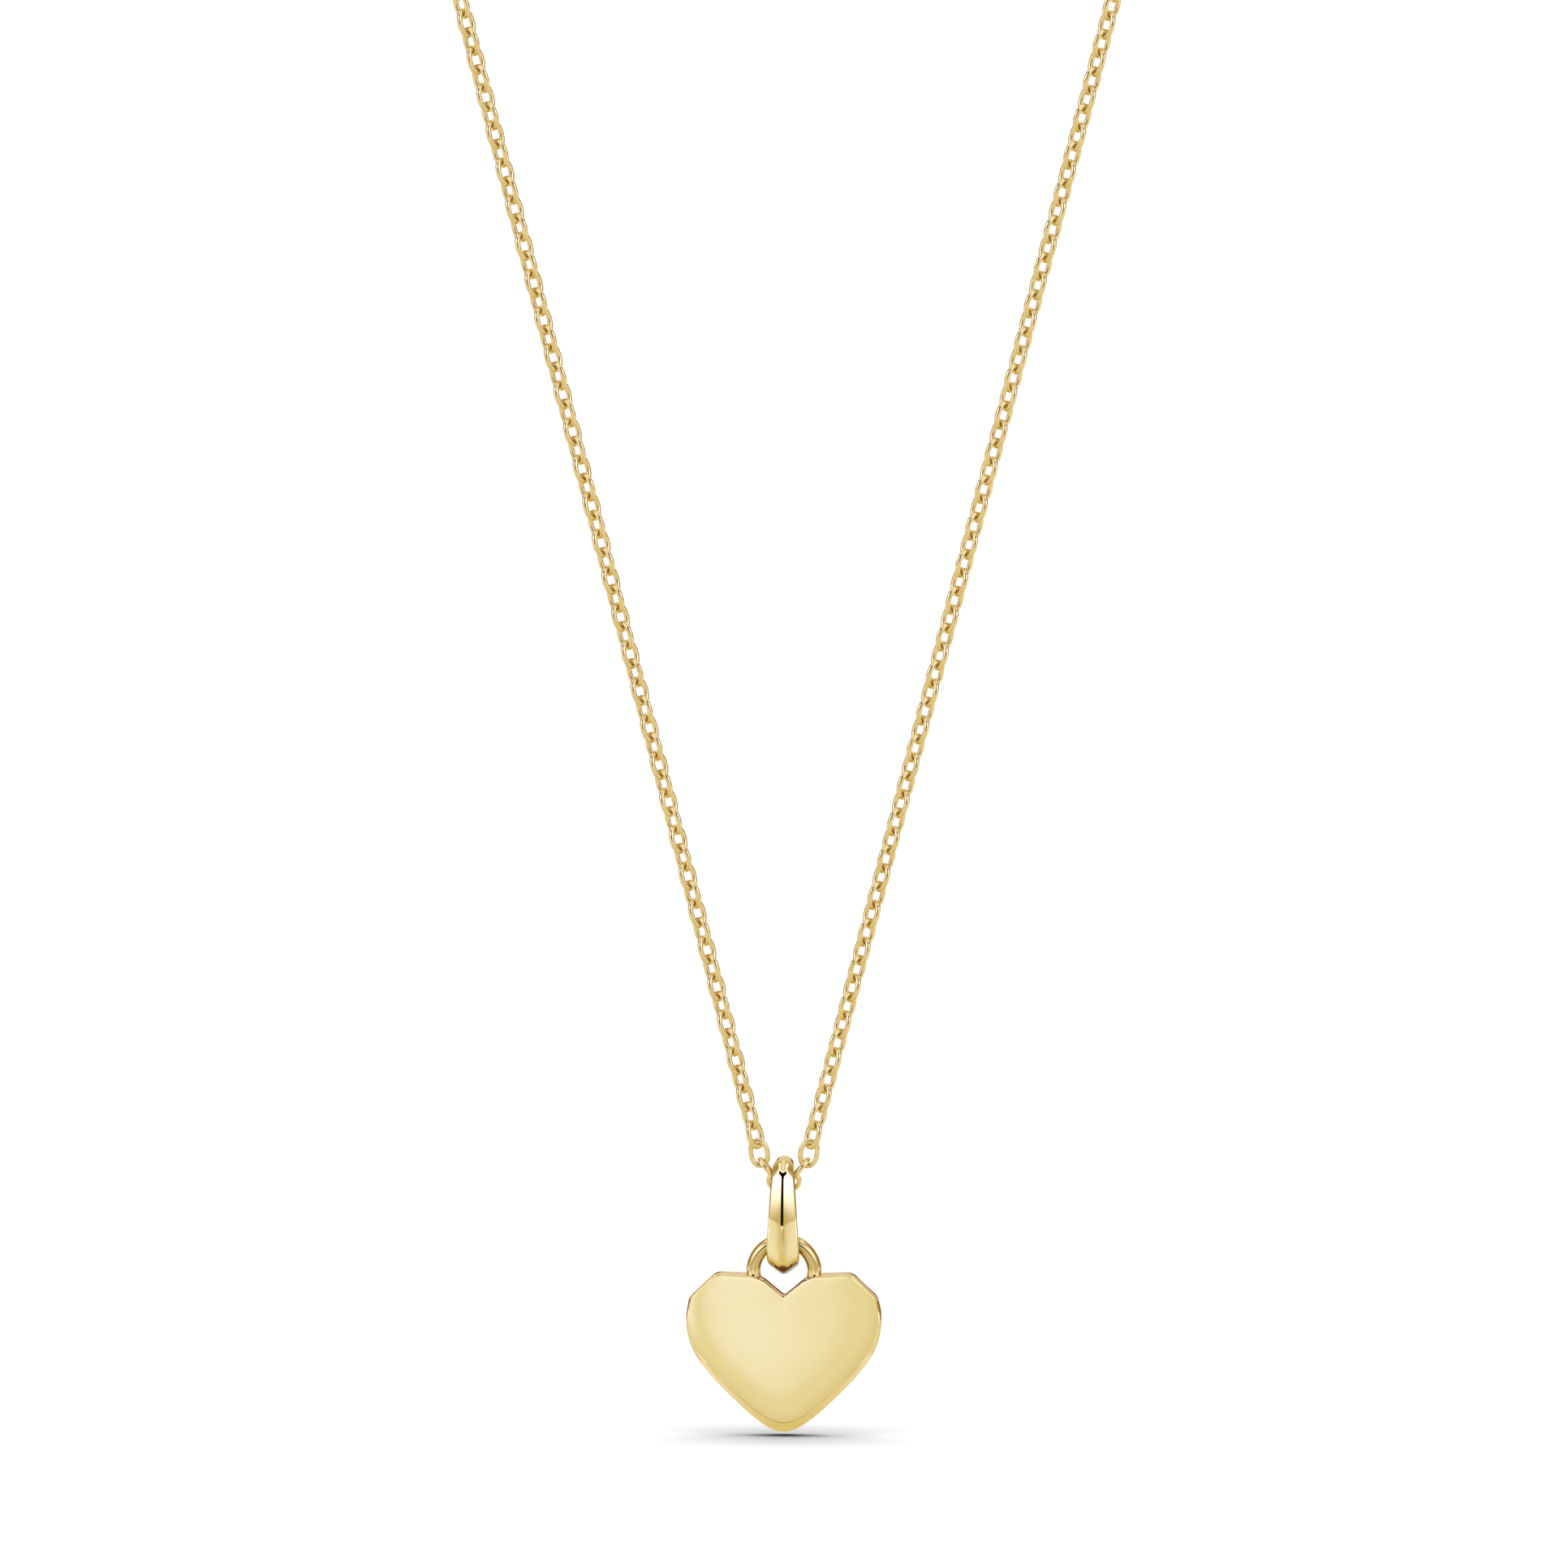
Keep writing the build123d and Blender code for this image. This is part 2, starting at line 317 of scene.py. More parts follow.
# Strands
class Route:
    """Straight runs joined by tangent arcs, read by the distance along them."""

    def __init__(self, points):
        self.spans = []
        self.length = 0.0
        here = points[0]
        for before, corner, after in zip(points, points[1:], points[2:]):
            into = unit(corner - before)
            out = unit(after - corner)
            turn = math.acos(np.dot(into, out))
            cut = BEND_SHARE * min(np.linalg.norm(corner - before), np.linalg.norm(after - corner))
            radius = cut / math.tan(turn / 2)
            bend_start = corner - into * cut
            inwards = unit(out - into * np.dot(out, into))
            self.add_run(here, bend_start)
            self.add_arc(bend_start + inwards * radius, -inwards, into, radius, turn)
            here = corner + out * cut
        self.add_run(here, points[-1])

    def add_run(self, start, end):
        length = np.linalg.norm(end - start)
        direction = unit(end - start)
        self.add(length, lambda step: start + direction * step)

    def add_arc(self, center, arm, along, radius, turn):
        def place(step):
            angle = step / radius
            return center + radius * (arm * math.cos(angle) + along * math.sin(angle))

        self.add(radius * turn, place)

    def add(self, length, place):
        self.spans.append((self.length, place))
        self.length += length

    def at(self, distance):
        start, place = [span for span in self.spans if span[0] <= distance][-1]
        return place(distance - start)


def make_strand(word, side):
    """Half of the chain: oval links that hook through each other, rolled one way and the other."""
    segments = 32
    sides = 12
    jump_ring_hook = JUMP_PLACE + JUMP_RADIUS - (JUMP_WIRE + STRAND_WIRE) / 2 - JUMP_RING_GAP
    corners = [LOW + np.array(share) * (HALF_NECK, REACH, DROP) for share in ROUTE_SHARES]
    points = [upper_end - lean * STRAND_STEP] + corners + [RIGHT * jump_ring_hook]
    route = Route([on_side(point, side) for point in points])
    count = round((route.length - STRAND_PATH_LENGTH) / STRAND_PITCH) + 1
    pitch = (route.length - STRAND_PATH_LENGTH) / (count - 1)
    facing = FORWARDS
    links = []
    for number in range(count):
        start = route.at(number * pitch)
        end = route.at(number * pitch + STRAND_PATH_LENGTH)
        along = unit(end - start)
        facing = unit(facing - along * np.dot(facing, along))
        outwards = side * np.cross(along, facing)
        roll = LINK_ROLL if number % 2 == 0 else -LINK_ROLL
        width_axis = outwards * math.cos(roll) + facing * math.sin(roll)
        wire = link_wire(start, end, width_axis, STRAND_PATH_WIDTH, STRAND_WIRE, segments, sides)
        links.append(wire)
    faces = closed_grid(segments, sides)
    all_faces = [faces + number * segments * sides for number in range(count)]
    strand = make_mesh(f"strand_{word}", np.concatenate(links), np.concatenate(all_faces))
    stand_for(strand, "chain_gold", "necklace", f"chain_{word}")
    return strand


# Bail
def egg_arcs(top_radius, foot_radius, side_radius):
    """The centre and radius of an egg's side arc, where its top circle is centred on the origin."""
    to_top = side_radius - top_radius
    to_foot = side_radius - foot_radius
    side_drop = (BAIL_ROUND_DROP**2 + to_top**2 - to_foot**2) / (2 * BAIL_ROUND_DROP)
    side_shift = math.sqrt(to_top**2 - side_drop**2)
    return np.array([-side_shift, -side_drop])


def outside_egg(y, z, top_radius, foot_radius, side_radius):
    """How far a point of the side view lies outside an egg of four tangent arcs."""
    y = np.abs(y)
    side = egg_arcs(top_radius, foot_radius, side_radius)
    above = side[0] * (z - side[1]) - side[1] * (y - side[0]) < 0
    foot_arm = np.array([0.0, -BAIL_ROUND_DROP]) - side
    below = foot_arm[0] * (z - side[1]) - foot_arm[1] * (y - side[0]) < 0
    from_top = np.hypot(y, z) - top_radius
    from_foot = np.hypot(y, z + BAIL_ROUND_DROP) - foot_radius
    from_side = np.hypot(y - side[0], z - side[1]) - side_radius
    return np.where(above, from_top, np.where(below, from_foot, from_side))


def rounded_corner_of(fields, radius):
    """The field of what lies inside all the fields, with the corners between them rounded."""
    excess = [np.maximum(field + radius, 0.0) for field in fields]
    return np.sqrt(sum(part**2 for part in excess)) - radius


def outside_bail(x, y, z):
    """Less than nothing inside the bail, and nothing on its skin."""
    ridge = np.sqrt(x**2 + BAIL_RIDGE_RADIUS**2) - BAIL_RIDGE_RADIUS
    outer = outside_egg(
        y,
        z,
        BAIL_TOP + BAIL_RIDGE_RISE,
        BAIL_ROUND_RADIUS + BAIL_BAR,
        BAIL_SIDE_RADIUS,
    )
    facets = outer * math.cos(BAIL_FACET) + ridge * math.sin(BAIL_FACET)
    foot_level = -BAIL_FOOT - BAIL_FOOT_DROP
    foot = np.abs(y) * math.cos(BAIL_FOOT_SLOPE) - (z - foot_level) * math.sin(BAIL_FOOT_SLOPE)
    foot_ridge = np.sqrt(x**2 + BAIL_FOOT_RIDGE_RADIUS**2) - BAIL_FOOT_RIDGE_RADIUS
    foot = foot * math.cos(BAIL_FOOT_FACET) + foot_ridge * math.sin(BAIL_FOOT_FACET)
    inner = -outside_egg(y, z, BAIL_EYE_RADIUS, BAIL_ROUND_RADIUS, BAIL_SIDE_RADIUS - BAIL_BAR)
    shoulder = BAIL_TOP - BAIL_DOME
    share = np.clip((shoulder - z) / (shoulder + BAIL_FOOT), 0.0, 1.0)
    half_width = (BAIL_WIDTH_TOP + (BAIL_WIDTH_LOW - BAIL_WIDTH_TOP) * share) / 2
    half_width = half_width - (y + BAIL_LENGTH / 3) * math.tan(BAIL_SIDE_DRAFT)
    above = np.maximum(z - shoulder, 0.0) / BAIL_DOME
    walls = (np.sqrt((x / half_width) ** 2 + above**2) - 1.0) * half_width
    skin = rounded_corner_of((facets, foot), BAIL_FOOT_RADIUS)
    return rounded_corner_of((skin, inner, walls), BAIL_EDGE_RADIUS)


def bail_normals(points):
    """The directions straight out of the bail's skin."""
    step = 0.0001
    slopes = []
    for axis in np.eye(3) * step:
        slopes.append(outside_bail(*(points + axis).T) - outside_bail(*(points - axis).T))
    normals = np.stack(slopes, axis=1)
    return normals / np.linalg.norm(normals, axis=1)[:, None]


def way_out(is_outside, furthest, halvings=40):
    """How far each ray goes before it comes outside. At the furthest it is outside."""
    low = np.zeros(furthest.shape)
    high = furthest
    for _ in range(halvings):
        reach = (low + high) / 2
        outside = is_outside(reach)
        high = np.where(outside, reach, high)
        low = np.where(outside, low, reach)
    return high


def bail_middle_line(stations):
    """The middle line of the bail's bar in the side view, and the way out of the loop along it."""
    turns = np.arange(stations) * 2 * math.pi / stations
    turns = turns + 0.5 * np.sin(turns)     # closer together at the foot
    top_radius = (BAIL_TOP + BAIL_EYE_RADIUS) / 2
    foot_radius = BAIL_ROUND_RADIUS + BAIL_BAR / 2
    side_radius = BAIL_SIDE_RADIUS - BAIL_BAR / 2
    center_z = -BAIL_ROUND_DROP * 0.55

    def place(reach):
        return reach * np.sin(turns), center_z + reach * np.cos(turns)

    def is_outside(reach):
        return outside_egg(*place(reach), top_radius, foot_radius, side_radius) > 0

    y, z = place(way_out(is_outside, np.full(stations, 6.0)))
    along = np.stack([np.roll(y, -1) - np.roll(y, 1), np.roll(z, -1) - np.roll(z, 1)])
    along = along / np.linalg.norm(along, axis=0)
    outward = np.sign(along[0] * (z - center_z) - along[1] * y)
    return y, z, -along[1] * outward, along[0] * outward


def make_bail():
    """The bail's skin, found along rays from the middle line of its bar."""
    stations = 300
    rays = 180
    middle_y, middle_z, out_y, out_z = [values[:, None] for values in bail_middle_line(stations)]
    angles = np.arange(rays)[None, :] * 2 * math.pi / rays
    across = np.cos(angles) * np.ones((stations, 1))
    away_y = out_y * np.sin(angles)
    away_z = out_z * np.sin(angles)

    def place(reach):
        return across * reach, middle_y + away_y * reach, middle_z + away_z * reach

    def is_outside(reach):
        return outside_bail(*place(reach)) > 0

    skin = place(way_out(is_outside, np.full((stations, rays), 2.0)))
    points = np.stack(skin, axis=2).reshape(-1, 3)
    bail = make_mesh("bail_loop", points + LOW, closed_grid(stations, rays))
    bail.data.normals_split_custom_set_from_vertices(bail_normals(points).tolist())
    stand_for(bail, "bail_gold", "bail", "bail")
    return bail


# Heart
def rounded_corner(before, corner, after, radius, steps=10):
    """Points of the arc that rounds a flat corner."""
    into = unit(corner - before)
    out = unit(after - corner)
    turn = math.acos(np.clip(np.dot(into, out), -1.0, 1.0))
    cut = radius * math.tan(turn / 2)
    inwards = unit(out - into * np.dot(out, into))
    center = corner - into * cut + inwards * radius
    angles = np.linspace(0.0, turn, steps)[:, None]
    return center + radius * (np.sin(angles) * into - np.cos(angles) * inwards)


def smooth_run(points, start_direction, end_direction, steps=24):
    """A smooth curve through points, from one direction to another, by cubic spans."""
    points = np.array(points)
    chords = np.linalg.norm(np.diff(points, axis=0), axis=1)
    knots = np.concatenate([[0.0], np.cumsum(chords)])
    count = len(points)
    # The slopes that make neighbouring spans bend alike
    system = np.zeros((count, count))
    target = np.zeros((count, 2))
    system[0, 0] = 1.0
    system[-1, -1] = 1.0
    target[0] = unit(start_direction)
    target[-1] = unit(end_direction)
    for index in range(1, count - 1):
        left = chords[index - 1]
        right = chords[index]
        system[index, index - 1] = right
        system[index, index] = 2 * (left + right)
        system[index, index + 1] = left
        rise = (points[index] - points[index - 1]) / left * right
        run = (points[index + 1] - points[index]) / right * left
        target[index] = 3 * (rise + run)
    slopes = np.linalg.solve(system, target)
    curve = []
    for index in range(count - 1):
        step = np.linspace(0.0, 1.0, steps, endpoint=False)[:, None]
        width = knots[index + 1] - knots[index]
        curve.append(
            (2 * step**3 - 3 * step**2 + 1) * points[index]
            + (step**3 - 2 * step**2 + step) * width * slopes[index]
            + (3 * step**2 - 2 * step**3) * points[index + 1]
            + (step**3 - step**2) * width * slopes[index + 1]
        )
    return np.concatenate(curve + [points[-1:]])


def filled_in(points, steps=12):
    """The same run of points, with more of them along each straight stretch."""
    step = np.linspace(0.0, 1.0, steps, endpoint=False)[None, :, None]
    stretches = points[:-1, None] + (points[1:, None] - points[:-1, None]) * step
    return np.concatenate([stretches.reshape(-1, 2), points[-1:]])


def off_top(angles):
    """How far each direction lies off the top, to either side."""
    return np.abs((angles + math.pi) % (2 * math.pi) - math.pi)


def heart_reach(angles, rise, inset):
    """How far the heart's outline lies from its middle in each direction, clockwise from the top."""
    half_width = HEART_WIDTH / 2 - inset
    widest_down = HEART_LOWER[0][1]

    def place(across, down):
        below = max(0.0, down - widest_down) / (1 - widest_down)
        return np.array([across * half_width, below * rise - down * HEART_HEIGHT])

    upper = [place(across, down) for across, down in HEART_UPPER]
    lower = [place(across, down) for across, down in HEART_LOWER]
    cleft_partner = upper[1] * np.array([-1.0, 1.0])
    cleft = rounded_corner(cleft_partner, upper[0], upper[1], HEART_CLEFT_RADIUS, 21)[10:]
    parts = [cleft]
    for before, corner, after in zip(upper, upper[1:], upper[2:]):
        radius = HEART_CLEFT_RADIUS if corner is upper[1] else HEART_CORNER_RADIUS
        parts.append(rounded_corner(before, corner, after, radius))
    parts.append(smooth_run(lower, upper[-1] - upper[-2], np.array([-1.0, 0.0])))
    arms = filled_in(np.concatenate(parts)) - HEART_MIDDLE
    bearing = np.arctan2(arms[:, 0], arms[:, 1])
    return np.interp(off_top(angles), bearing, np.linalg.norm(arms, axis=1))


def smoothed(values, window):
    """The running mean round a closed ring of values."""
    nearby = np.concatenate([values[-(window // 2):], values, values[: window // 2]])
    return np.convolve(nearby, np.full(window, 1 / window), "valid")


def face_depth(angles, reach, front):
    """How far the domed face lies back from its crown. Its top edge rolls back by very little."""
    across = reach * np.sin(angles) / (HEART_WIDTH / 2)
    down = np.maximum(-reach * np.cos(angles), 0.0) / (HEART_HEIGHT / 2)
    share = reach / smoothed(front, WIDE_WINDOW)
    turn = np.clip((off_top(angles) - FACE_EDGE_START) / FACE_EDGE_TURN, 0.0, 1.0)
    turn = turn**2 * (3 - 2 * turn)
    edge = FACE_EDGE_FALL * turn * share**FACE_EDGE_POWER
    roll = FACE_TOP_ROLL * (1 - turn) * np.exp((reach - front) / FACE_TOP_ROLL_WIDTH)
    return FACE_SIDE_FALL * across**2 + FACE_FOOT_FALL * down**2 + edge + roll


def back_depth(angles, reach):
    """How far the slightly domed back lies behind the face's crown."""
    across = reach * np.sin(angles) / (HEART_WIDTH / 2)
    up = reach * np.cos(angles) / (HEART_HEIGHT / 2)
    return HEART_THICKNESS - BACK_FALL * (across**2 + up**2)


def eased_section(corners, cut, steps=8):
    """The rings of a section through corners, each a reach and a depth, with its inner corners eased."""
    rings = [corners[0]]
    for before, corner, after in zip(corners, corners[1:], corners[2:]):
        ends = []
        for other in (before, after):
            away = other - corner
            length = np.linalg.norm(away, axis=0)
            ends.append(corner + away * np.minimum(cut / length, 0.45))
        for step in np.linspace(0.0, 1.0, steps + 1):
            bend = (1 - step) ** 2 * ends[0] + 2 * step * (1 - step) * corner + step**2 * ends[1]
            rings.append(bend)
    return rings


def face_rings(angles, front, bevelled):
    """The face out to the fine line, and over it."""
    start = front - RIM_CHAMFER - GROOVE_WIDTH - EDGE_CUT + bevelled * (RIM_CHAMFER - BEVEL_CHAMFER)
    rings = []
    for share in np.concatenate([np.linspace(0.03, 0.97, 40), [0.985, 0.995]]):
        reach = start * share
        rings.append(np.array([reach, face_depth(angles, reach, front)]))
    for step in np.linspace(0.0, 1.0, 17):
        reach = start + GROOVE_WIDTH * step
        cut = GROOVE_DEPTH * bevelled * math.sin(math.pi * step) ** 2
        rings.append(np.array([reach, face_depth(angles, reach, front) + cut]))
    return rings


def heart_back_reach(angles, outer, bevelled):
    """How far the back reaches. The walls draw in towards it, above all where they slant."""
    x = outer * np.sin(angles)
    z = outer * np.cos(angles)
    along = np.stack([np.roll(x, -1) - np.roll(x, 1), np.roll(z, -1) - np.roll(z, 1)])
    along = along / np.linalg.norm(along, axis=0)
    draft = TOP_DRAFT * along[0] ** 2 + SLANT_DRAFT * np.abs(along[0] * along[1])
    return outer - smoothed(draft * (1 - bevelled), NARROW_WINDOW)


def heart_rings(angles):
    """The plate's rings from the middle of its face to that of its back: reaches and depths."""
    front = heart_reach(angles, BEVEL_RISE, BEVEL_INSET)
    outer = heart_reach(angles, 0.0, 0.0)
    bevelled = np.clip((outer - front - BEVEL_ONSET) / BEVEL_GROWTH, 0.0, 1.0)
    bevelled = smoothed(bevelled, WIDE_WINDOW)
    back = heart_back_reach(angles, outer, bevelled)
    chamfer = RIM_CHAMFER + (BEVEL_CHAMFER - RIM_CHAMFER) * bevelled
    rim_depth = face_depth(angles, front - chamfer, front)
    rings = face_rings(angles, front, bevelled)
    corners = [
        rings.pop(),
        np.array([front - chamfer, rim_depth]),
        np.array([front, rim_depth + chamfer]),
        np.array([outer, np.full(len(angles), BEVEL_DEPTH)]),
        np.array([back, back_depth(angles, back)]),
        np.array([back * 0.95, back_depth(angles, back * 0.95)]),
    ]
    rings.extend(eased_section(corners, EDGE_CUT))
    for share in (0.95, 0.9, 0.8, 0.7, 0.6, 0.5, 0.4, 0.3, 0.2, 0.1, 0.03):
        rings.append(np.array([back * share, back_depth(angles, back * share)]))
    return rings


def make_heart_body():
    """The plate: a domed face, the fine line and bevel round its foot, the walls and the back."""
    directions = HEART_DIRECTIONS
    angles = np.arange(directions) * 2 * math.pi / directions
    rings = heart_rings(angles)
    points = [
        np.stack([reach * np.sin(angles), depth, reach * np.cos(angles) + HEART_MIDDLE[1]], axis=1)
        for reach, depth in rings
    ]
    middle = np.array([0.0, 0.0, HEART_MIDDLE[1]])
    middles = [middle, middle + np.array([0.0, HEART_THICKNESS, 0.0])]
    faces = [tuple(face) for face in closed_grid(len(rings), directions, rows_close=False)[:, ::-1]]
    front_middle = len(rings) * directions
    last_ring = front_middle - directions
    for index in range(directions):
        following = (index + 1) % directions
        faces.append((front_middle, index, following))
        faces.append((front_middle + 1, last_ring + following, last_ring + index))
    crown = RING_CENTER + np.array([0.0, -HEART_THICKNESS / 2, -HEART_TOP_DROP])
    return make_mesh("heart_body", np.concatenate(points + [middles]) + crown, faces)


def make_half_ring():
    """The half ring, closed at its two feet, which end inside the heart."""
    steps = 140
    sides = 64
    angles = np.linspace(-RING_FOOT, math.pi + RING_FOOT, steps)
    turns = np.arange(sides) * 2 * math.pi / sides
    arms = np.stack([np.cos(angles), np.zeros(steps), np.sin(angles)], axis=1)
    spread = arms[:, None, :] * np.cos(turns)[None, :, None]
    spread = spread + FORWARDS * np.sin(turns)[None, :, None]
    rings = RING_CENTER + arms[:, None, :] * RING_RADIUS + spread * RING_WIRE / 2
    faces = [tuple(face) for face in closed_grid(steps, sides, rows_close=False)]
    faces.append(tuple(range(sides)))
    faces.append(tuple((steps - 1) * sides + index for index in reversed(range(sides))))
    return make_mesh("half_ring", rings.reshape(-1, 3), faces)


def make_heart():
    heart = fuse("heart_plate", make_heart_body(), make_half_ring())
    stand_for(heart, "heart_gold", "heart", "heart")
    return heart


# Clasp and jump rings
def ring_of_wire(name, center, radius, wire, first_axis, second_axis, steps, sides):
    angles = np.arange(steps) * 2 * math.pi / steps
    arms = np.cos(angles)[:, None] * first_axis + np.sin(angles)[:, None] * second_axis
    path = center + radius * arms
    points = round_wire(path, np.cross(first_axis, second_axis), np.full(steps, wire / 2), sides)
    return make_mesh(name, points, closed_grid(steps, sides))


def make_clasp():
    """A plain ring and its eye, soldered together."""
    ring_center = RIGHT * CLASP_SHIFT
    eye_center = ring_center - RIGHT * (CLASP_RADIUS + CLASP_WIRE / 2 + EYE_WIRE / 2)
    ring = ring_of_wire("clasp_ring", ring_center, CLASP_RADIUS, CLASP_WIRE, RIGHT, UP, 160, 48)
    eye = ring_of_wire("clasp_eye", eye_center, EYE_RADIUS, EYE_WIRE, RIGHT, UP, 96, 32)
    clasp = fuse("clasp_body", ring, eye)
    stand_for(clasp, "clasp_gold", "necklace", "clasp")
    return clasp


def make_jump_ring(word, side):
    center = RIGHT * side * JUMP_PLACE
    name = f"jump_ring_{word}_wire"
    ring = ring_of_wire(name, center, JUMP_RADIUS, JUMP_WIRE, RIGHT * side, FORWARDS, 96, 32)
    stand_for(ring, "clasp_gold", "necklace", f"jump_ring_{word}")
    return ring


# Materials
PALE_GOLD = (0.865, 0.760, 0.430)
WARM_GOLD = (0.850, 0.740, 0.405)
YELLOW_GOLD = (0.870, 0.740, 0.410)
DEEP_GOLD = (0.840, 0.690, 0.350)
# Painted shade along the middle of the bail's ridge
RIDGE_PAINTED_SHADE = (0.600, 0.460, 0.190)
# Painted shade: multiplies the half ring's colour to darken it
RING_PAINTED_SHADE = (0.80, 0.74, 0.62)
# Painted shade: dark brown mixed in where the bail's skin faces downwards
UNDER_PAINTED_SHADE = (0.160, 0.060, 0.018)
RING_ROUGHNESS = 0.12       # how much rougher the half ring is than the plate
GRAIN_SIZE = 0.12
GRAIN_DEPTH = 0.004

# Where the painted shades, and the half ring's extra roughness, begin and where they are full
RING_FADE = RING_CENTER[2] + np.array([-0.1, 0.2])
RIDGE_FADE_ACROSS = np.array([0.22, 0.05])
RIDGE_FADE_TOP = LOW[2] - np.array([2.3, 2.6])
RIDGE_FADE_FOOT = LOW[2] - np.array([3.9, 3.0])
UNDER_FADE = (-0.62, -0.72)     # by how steeply the skin faces downwards


def make_gold(name, pale, deep, roughness, cloud_size, scratch):
    """Polished gold: its colour, shine and skin vary a little over the surface."""
    material = bpy.data.materials.new(name)
    material.use_nodes = True
    nodes = material.node_tree.nodes
    links = material.node_tree.links
    shader = nodes["Principled BSDF"]
    shader.inputs["Metallic"].default_value = 1.0
    place = nodes.new("ShaderNodeTexCoord")

    clouds = nodes.new("ShaderNodeTexNoise")
    clouds.inputs["Scale"].default_value = 1 / (cloud_size * MM)
    clouds.inputs["Detail"].default_value = 3.0
    links.new(place.outputs["Object"], clouds.inputs["Vector"])
    colour = nodes.new("ShaderNodeValToRGB")
    colour.color_ramp.elements[0].position = 0.35
    colour.color_ramp.elements[0].color = (*deep, 1.0)
    colour.color_ramp.elements[1].position = 0.65
    colour.color_ramp.elements[1].color = (*pale, 1.0)
    links.new(clouds.outputs["Fac"], colour.inputs["Fac"])
    links.new(colour.outputs["Color"], shader.inputs["Base Color"])

    polish = nodes.new("ShaderNodeTexNoise")
    polish.inputs["Scale"].default_value = 4 / (cloud_size * MM)
    polish.inputs["Detail"].default_value = 5.0
    links.new(place.outputs["Object"], polish.inputs["Vector"])
    shine = nodes.new("ShaderNodeMapRange")
    shine.inputs["From Min"].default_value = 0.3
    shine.inputs["From Max"].default_value = 0.7
    shine.inputs["To Min"].default_value = roughness * 0.75
    shine.inputs["To Max"].default_value = roughness * 1.25
    links.new(polish.outputs["Fac"], shine.inputs["Value"])
    links.new(shine.outputs["Result"], shader.inputs["Roughness"])

    grain = nodes.new("ShaderNodeTexNoise")
    grain.inputs["Scale"].default_value = 1 / (GRAIN_SIZE * MM)
    grain.inputs["Detail"].default_value = 4.0
    links.new(place.outputs["Object"], grain.inputs["Vector"])
    bump = nodes.new("ShaderNodeBump")
    bump.inputs["Strength"].default_value = scratch
    bump.inputs["Distance"].default_value = GRAIN_DEPTH * MM
    links.new(grain.outputs["Fac"], bump.inputs["Height"])
    links.new(bump.outputs["Normal"], shader.inputs["Normal"])
    return material


def masked(nodes, links, value, begins, full):
    """Rises smoothly from 0 where it begins to 1 where it is full."""
    node = nodes.new("ShaderNodeMapRange")
    node.interpolation_type = "SMOOTHSTEP"
    links.new(value, node.inputs["Value"])
    node.inputs["From Min"].default_value = begins
    node.inputs["From Max"].default_value = full
    return node.outputs["Result"]


def product(nodes, links, first, second):
    node = nodes.new("ShaderNodeMath")
    node.operation = "MULTIPLY"
    links.new(first, node.inputs[0])
    links.new(second, node.inputs[1])
    return node.outputs[0]


def parts_of(nodes, links, coordinates):
    """The x, y and z of the object's place or facing."""
    split = nodes.new("ShaderNodeSeparateXYZ")
    links.new(nodes.new("ShaderNodeTexCoord").outputs[coordinates], split.inputs["Vector"])
    return split.outputs


def tint(nodes, links, colour, share, shade, blend_type="MIX"):
    """The colour, blended with the shade by the share."""
    blend = nodes.new("ShaderNodeMix")
    blend.data_type = "RGBA"
    blend.blend_type = blend_type
    links.new(share, blend.inputs["Factor"])
    links.new(colour, blend.inputs[6])
    blend.inputs[7].default_value = (*shade, 1.0)
    return blend.outputs[2]


def soften_ring_and_paint_shade(material):
    """The half ring is less polished than the plate below it, and its colour is darkened as painted
    shade, for the darker reflections it shows.
    """
    nodes = material.node_tree.nodes
    links = material.node_tree.links
    shader = nodes["Principled BSDF"]
    height = parts_of(nodes, links, "Object")["Z"]
    on_ring = masked(nodes, links, height, *(RING_FADE * MM))
    total = nodes.new("ShaderNodeMath")
    total.operation = "MULTIPLY_ADD"
    links.new(on_ring, total.inputs[0])
    total.inputs[1].default_value = RING_ROUGHNESS
    links.new(shader.inputs["Roughness"].links[0].from_socket, total.inputs[2])
    links.new(total.outputs[0], shader.inputs["Roughness"])
    # Painted shade: the half ring's colour is darkened by the same fade
    colour = shader.inputs["Base Color"].links[0].from_socket
    colour = tint(nodes, links, colour, on_ring, RING_PAINTED_SHADE, "MULTIPLY")
    links.new(colour, shader.inputs["Base Color"])


def shade_bail(material):
    """Painted shade: deeper gold along the middle of the ridge and dark brown under the foot, for darker
    reflections there.
    """
    nodes = material.node_tree.nodes
    links = material.node_tree.links
    shader = nodes["Principled BSDF"]
    place = parts_of(nodes, links, "Object")
    off_ridge = nodes.new("ShaderNodeMath")
    off_ridge.operation = "ABSOLUTE"
    links.new(place["X"], off_ridge.inputs[0])
    near = masked(nodes, links, off_ridge.outputs[0], *(RIDGE_FADE_ACROSS * MM))
    below_top = masked(nodes, links, place["Z"], *(RIDGE_FADE_TOP * MM))
    above_foot = masked(nodes, links, place["Z"], *(RIDGE_FADE_FOOT * MM))
    on_ridge = product(nodes, links, near, product(nodes, links, below_top, above_foot))
    below = masked(nodes, links, parts_of(nodes, links, "Normal")["Z"], *UNDER_FADE)
    colour = shader.inputs["Base Color"].links[0].from_socket
    # Painted shade along the ridge, then under the foot
    colour = tint(nodes, links, colour, on_ridge, RIDGE_PAINTED_SHADE)
    colour = tint(nodes, links, colour, below, UNDER_PAINTED_SHADE)
    links.new(colour, shader.inputs["Base Color"])


def dress(pieces, material):
    for piece in pieces:
        piece.data.materials.clear()
        piece.data.materials.append(material)


# Stage
FLOOR_GAP = 0.3             # between the heart's apex and the floor
FLOOR_LEVEL = -DROP - BAIL_LENGTH - HEART_TOP_DROP - HEART_HEIGHT - FLOOR_GAP
FLOOR_WHITE = (0.85, 0.85, 0.86)


